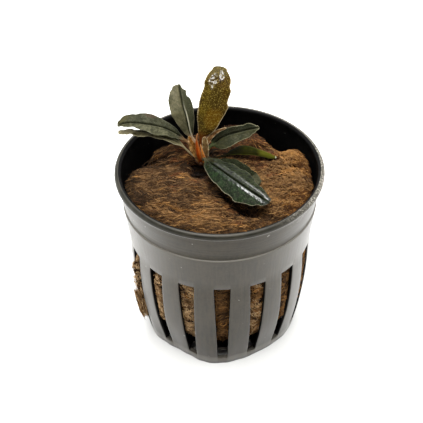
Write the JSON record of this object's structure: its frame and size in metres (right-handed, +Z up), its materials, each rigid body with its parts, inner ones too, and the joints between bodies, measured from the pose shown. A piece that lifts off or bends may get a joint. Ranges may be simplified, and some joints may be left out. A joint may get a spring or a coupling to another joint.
{
  "type": "bucephalandra in net pot",
  "caption": "Small aquarium aroid with waxy leaves on a short rhizome, rooted in fibrous mineral wool that fills a slotted, tapering net pot.",
  "frame": {"origin": "on the pot's axis, on the surface that the pot stands on", "axes": "+Z up along the pot's axis; -Y towards the front, where the large green leaf lies over the wool; +X to the right"},
  "size_m": [0.051, 0.051, 0.0664],
  "materials": {
    "pot_plastic": "dark grey polypropylene, satin, with fine scuffs",
    "mineral_wool": "damp brown mineral wool fibre",
    "rhizome": "living stem, smooth and slightly waxy",
    "leaf_upright": "living leaf, olive brown, waxy and blistered",
    "leaf_back": "living leaf, grey olive, waxy",
    "leaf_left_upper": "living leaf, grey green, waxy",
    "leaf_left_lower": "living leaf, olive brown, waxy",
    "leaf_right": "living leaf, dark grey green with a pale margin",
    "leaf_right_small": "living leaf, olive green, waxy",
    "leaf_front": "living leaf, deep green and glossy, with a pale margin",
    "leaf_front_under": "living leaf, dark green, glossy"
  },
  "bodies": {
    "root": {"net_pot": "pot_plastic", "rock_wool": "mineral_wool", "rhizome": "rhizome", "leaf_upright": "leaf_upright", "leaf_back": "leaf_back", "leaf_left_upper": "leaf_left_upper", "leaf_left_lower": "leaf_left_lower", "leaf_right": "leaf_right", "leaf_right_small": "leaf_right_small", "leaf_front": "leaf_front", "leaf_front_under": "leaf_front_under"}
  },
  "joints": []
}
